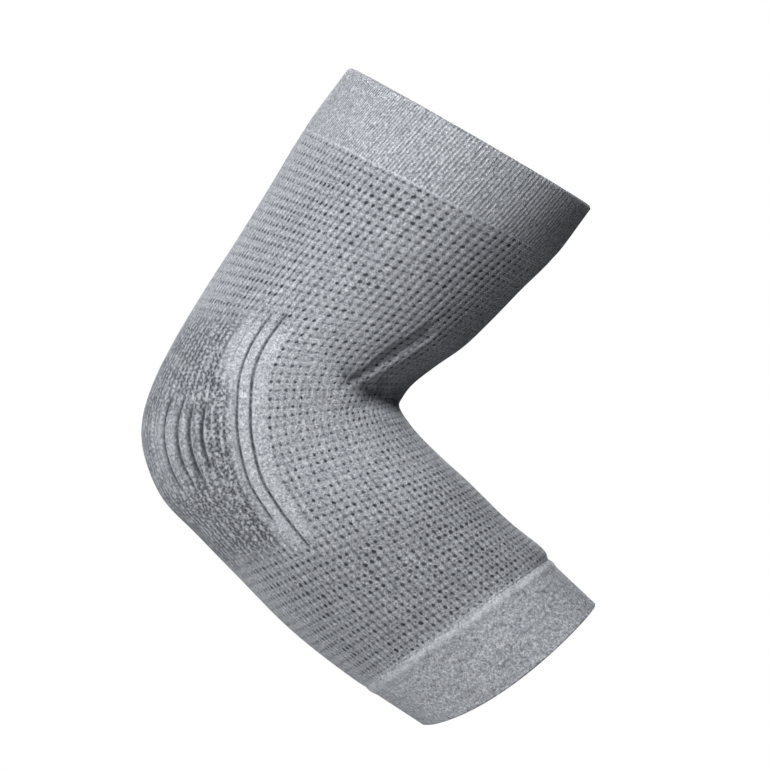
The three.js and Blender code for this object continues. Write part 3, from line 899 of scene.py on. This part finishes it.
class SLEEVE_OT_body(bpy.types.Operator):
    """Knit the body, with its eyelets, elbow patch and grooves"""

    bl_idname = "sleeve.body"
    bl_label = "Sleeve body"

    def execute(self, context):
        sizes, look = context.scene.sleeve_sizes, context.scene.sleeve_knit
        form = Form(sizes)
        start, end = sizes.upper_cuff_height, form.lower_seam

        last = round((end - start) / look.course)
        counts = np.concatenate([[0, SEAM_ROW], np.arange(1, 2 * last) / 2, [last - SEAM_ROW, last]])
        shares = course_places(counts / counts[-1])
        turns = (look.seam_turn, look.seam_turn)
        line = profile(start, end, sizes.knit_wall, shares, BODY_INNER_ROWS, turns)

        def courses(length):
            """The count of courses from the upper seam."""
            return np.interp(length, line[0][:len(counts)], counts) + FIRST_COURSE

        def holes(knit):
            """1 where the knit has open eyelets, ending a little way from both seams."""
            begun = smoothstep(knit.length - start, 0, EYELET_FADES[0])
            left = smoothstep(end - knit.length, 0, EYELET_FADES[1])
            return begun * left * eyelet_share(form.elbow_share(knit.length), knit.near, knit.placed)

        def relief(knit, points):
            """The puff above the lower seam, fullest at the crook, and the creases, less the
            grooves, less a dip at each crossing of a wale and a course."""
            depth = groove_share(form.elbow_share(knit.length), knit.near)[0] * look.groove_depth
            wale = np.cos(pi * knit.round * look.wales)
            row = np.cos(2 * pi * knit.course)
            dip = np.maximum(wale, 0) * np.maximum(row, 0) * look.eyelet_depth
            puffed = PUFF_BACK + (1 - PUFF_BACK) * smoothstep(knit.placed, PUFF_FROM, 1)
            creases = form.creased(points[..., 0], points[..., 2])
            return form.puff(knit.length) * puffed + creases - depth - dip * holes(knit)

        def shades(knit):
            """Where the painted shade of the groove bottoms, the elbow patch and the open eyelets are."""
            share = form.elbow_share(knit.length)
            return {
                "groove": groove_share(share, knit.near)[1],
                "patch": patch_share(share, knit.near),
                "holes": holes(knit),
            }

        wale = wales_round(look.wales, FINE_WALES)
        body = tube("sleeve_body_knit", form, line, wale, look.wales, courses, relief, shades)
        finish(body, "sleeve_body", knit_material("Eyelet heather knit", look, body_surface))
        declare(sizes.elbow_depth, sizes.elbow_width, end - start)
        return {"FINISHED"}


class SLEEVE_OT_lower_cuff(bpy.types.Operator):
    """Knit the plain cuff round the forearm, with its raised band and rounded hem"""

    bl_idname = "sleeve.lower_cuff"
    bl_label = "Lower cuff"

    def execute(self, context):
        sizes, look = context.scene.sleeve_sizes, context.scene.sleeve_knit
        form = Form(sizes)
        middle = form.lower_seam + sizes.ridge_height * BAND_MIDDLE

        def band(length):
            """1 along the middle of the raised band, and 0 past its edges."""
            return bump(length - middle, sizes.ridge_height * BAND_REACH)

        def relief(knit, points):
            """The raised band under the seam."""
            return sizes.ridge_rise * band(knit.length)

        turns = (look.seam_turn, sizes.cuff_wall / 4)
        outer_rows, inner_rows = LOWER_ROWS
        shares = np.linspace(0, 1, outer_rows)
        line = profile(form.lower_seam, form.length, sizes.cuff_wall, shares, inner_rows, turns)
        # The band's share is handed on for the painted highlight on it.
        cuff = tube(
            "lower_cuff_knit", form, line, wales_round(look.wales), look.wales,
            lambda length: length / look.course, relief, lambda knit: {"band_highlight": band(knit.length)},
        )
        finish(cuff, "lower_cuff", knit_material("Plain heather knit", look, plain_surface))
        declare(sizes.hem_depth, sizes.hem_width, sizes.lower_cuff_height)
        return {"FINISHED"}


# The studio, in metres, watts and degrees

# The floor's half width, how far it lies below the elbow, and how brightly it glows to the camera
FLOOR_HALF = 3
FLOOR_DROP = 0.6
FLOOR_GLOW = 0.75

# The faint light of the surroundings in front and behind, and between which values of its
# direction's Y it changes
FILL = (0, 0.05)
FILL_CHANGE = (-0.1, 0.8)

Lamp = namedtuple("Lamp", "name place size power")

LAMPS = (
    Lamp("key", (-0.29, -0.56, 0.36), 0.35, 0.68),
    Lamp("front", (-1.1, -1.4, -0.1), 1, 2.8),
    Lamp("top", (0.5, -0.5, 1.1), 0.6, 1.45),
    Lamp("rim", (-0.5, 0.1, -0.5), 0.4, 0.14),
    Lamp("back", (0.2, 1.6, 0.9), 0.5, 2.8),
)
LAMP_SPREAD = 70

# The camera stands level and far off, facing the middle of the view, whose x and z are given
CAMERA_AWAY = 4
VIEW_WIDTH = 292.6 * MM
VIEW_MIDDLE = (43.3 * MM, 16.2 * MM)


def build_floor(scene):
    """A pale matt floor. It glows to the camera alone, so that it looks pale from above too and
    throws no light up at the sleeve."""
    ends = (-FLOOR_HALF, FLOOR_HALF)
    mesh = bpy.data.meshes.new("floor")
    mesh.from_pydata([(x, y, -FLOOR_DROP) for y in ends for x in ends], [], [(0, 1, 3, 2)])
    material = bpy.data.materials.new("Pale matt floor")
    tree = empty_tree(material)
    seen = Value(tree, add(tree, "ShaderNodeLightPath").outputs["Is Camera Ray"])
    shader = add(tree, "ShaderNodeBsdfPrincipled", {
        "Base Color": (*linear("#EEEEEE"), 1),
        "Roughness": 0.9,
        "Emission Color": (1, 1, 1, 1),
        "Emission Strength": seen * FLOOR_GLOW,
    })
    add(tree, "ShaderNodeOutputMaterial", {0: shader.outputs[0]})
    mesh.materials.append(material)
    floor = bpy.data.objects.new("floor", mesh)
    scene.collection.objects.link(floor)


def build_surroundings(scene):
    """A background that is white to the camera, and to the sleeve a faint light from behind."""
    scene.world = bpy.data.worlds.new("studio")
    tree = empty_tree(scene.world)
    seen = add(tree, "ShaderNodeLightPath").outputs["Is Camera Ray"]
    toward = add(tree, "ShaderNodeTexCoord").outputs["Generated"]
    behind = Value(tree, add(tree, "ShaderNodeSeparateXYZ", {0: toward}).outputs["Y"])
    glow = behind.spread(*FILL_CHANGE, *FILL)
    white = add(tree, "ShaderNodeBackground", {0: (1, 1, 1, 1), 1: 1}).outputs[0]
    fill = add(tree, "ShaderNodeBackground", {0: (0.93, 0.96, 1, 1), 1: glow}).outputs[0]
    both = add(tree, "ShaderNodeMixShader", {0: seen, 1: fill, 2: white}).outputs[0]
    add(tree, "ShaderNodeOutputWorld", {0: both})


def build_lamps(scene):
    """Soft round lamps with narrowed beams, which all face the middle of the view."""
    for lamp in LAMPS:
        light = bpy.data.lights.new(lamp.name, "AREA")
        light.shape = "DISK"
        light.size = lamp.size
        light.energy = lamp.power
        light.spread = radians(LAMP_SPREAD)
        holder = bpy.data.objects.new(lamp.name, light)
        holder.location = lamp.place
        x, y, z = np.array((VIEW_MIDDLE[0], 0, VIEW_MIDDLE[1])) - lamp.place
        holder.rotation_euler = (np.arctan2(np.hypot(x, y), -z), 0, np.arctan2(y, x) - pi / 2)
        scene.collection.objects.link(holder)


def build_camera(scene):
    """A camera whose lens makes the view as wide as the photograph's frame."""
    camera = bpy.data.cameras.new("camera")
    camera.lens = camera.sensor_width * CAMERA_AWAY / VIEW_WIDTH
    holder = bpy.data.objects.new("camera", camera)
    holder.location = (VIEW_MIDDLE[0], -CAMERA_AWAY, VIEW_MIDDLE[1])
    holder.rotation_euler = (pi / 2, 0, 0)
    scene.collection.objects.link(holder)
    scene.camera = holder


class SLEEVE_OT_stage(bpy.types.Operator):
    """Set up the floor, the lights, the white background and the camera"""

    bl_idname = "sleeve.stage"
    bl_label = "Stage"

    def execute(self, context):
        scene = context.scene
        scene.view_settings.view_transform = "Standard"
        build_floor(scene)
        build_surroundings(scene)
        build_lamps(scene)
        build_camera(scene)
        return {"FINISHED"}


class SLEEVE_PT_panel(bpy.types.Panel):
    """The sleeve's pieces and its stage"""

    bl_idname = "SLEEVE_PT_panel"
    bl_label = "Knitted Elbow Sleeve"
    bl_space_type = "VIEW_3D"
    bl_region_type = "UI"
    bl_category = "Sleeve"

    def draw(self, context):
        for operator in OPERATORS:
            self.layout.operator(operator.bl_idname)


OPERATORS = (SLEEVE_OT_upper_cuff, SLEEVE_OT_body, SLEEVE_OT_lower_cuff, SLEEVE_OT_stage)
CLASSES = (SleeveSizes, SleeveKnit, *OPERATORS, SLEEVE_PT_panel)


def register():
    for cls in CLASSES:
        bpy.utils.register_class(cls)
    bpy.types.Scene.sleeve_sizes = PointerProperty(type=SleeveSizes)
    bpy.types.Scene.sleeve_knit = PointerProperty(type=SleeveKnit)


def unregister():
    del bpy.types.Scene.sleeve_knit
    del bpy.types.Scene.sleeve_sizes
    for cls in reversed(CLASSES):
        bpy.utils.unregister_class(cls)


def main():
    register()
    bpy.ops.sleeve.upper_cuff()
    bpy.ops.sleeve.body()
    bpy.ops.sleeve.lower_cuff()
    bpy.ops.sleeve.stage()


if __name__ == "__main__":
    main()
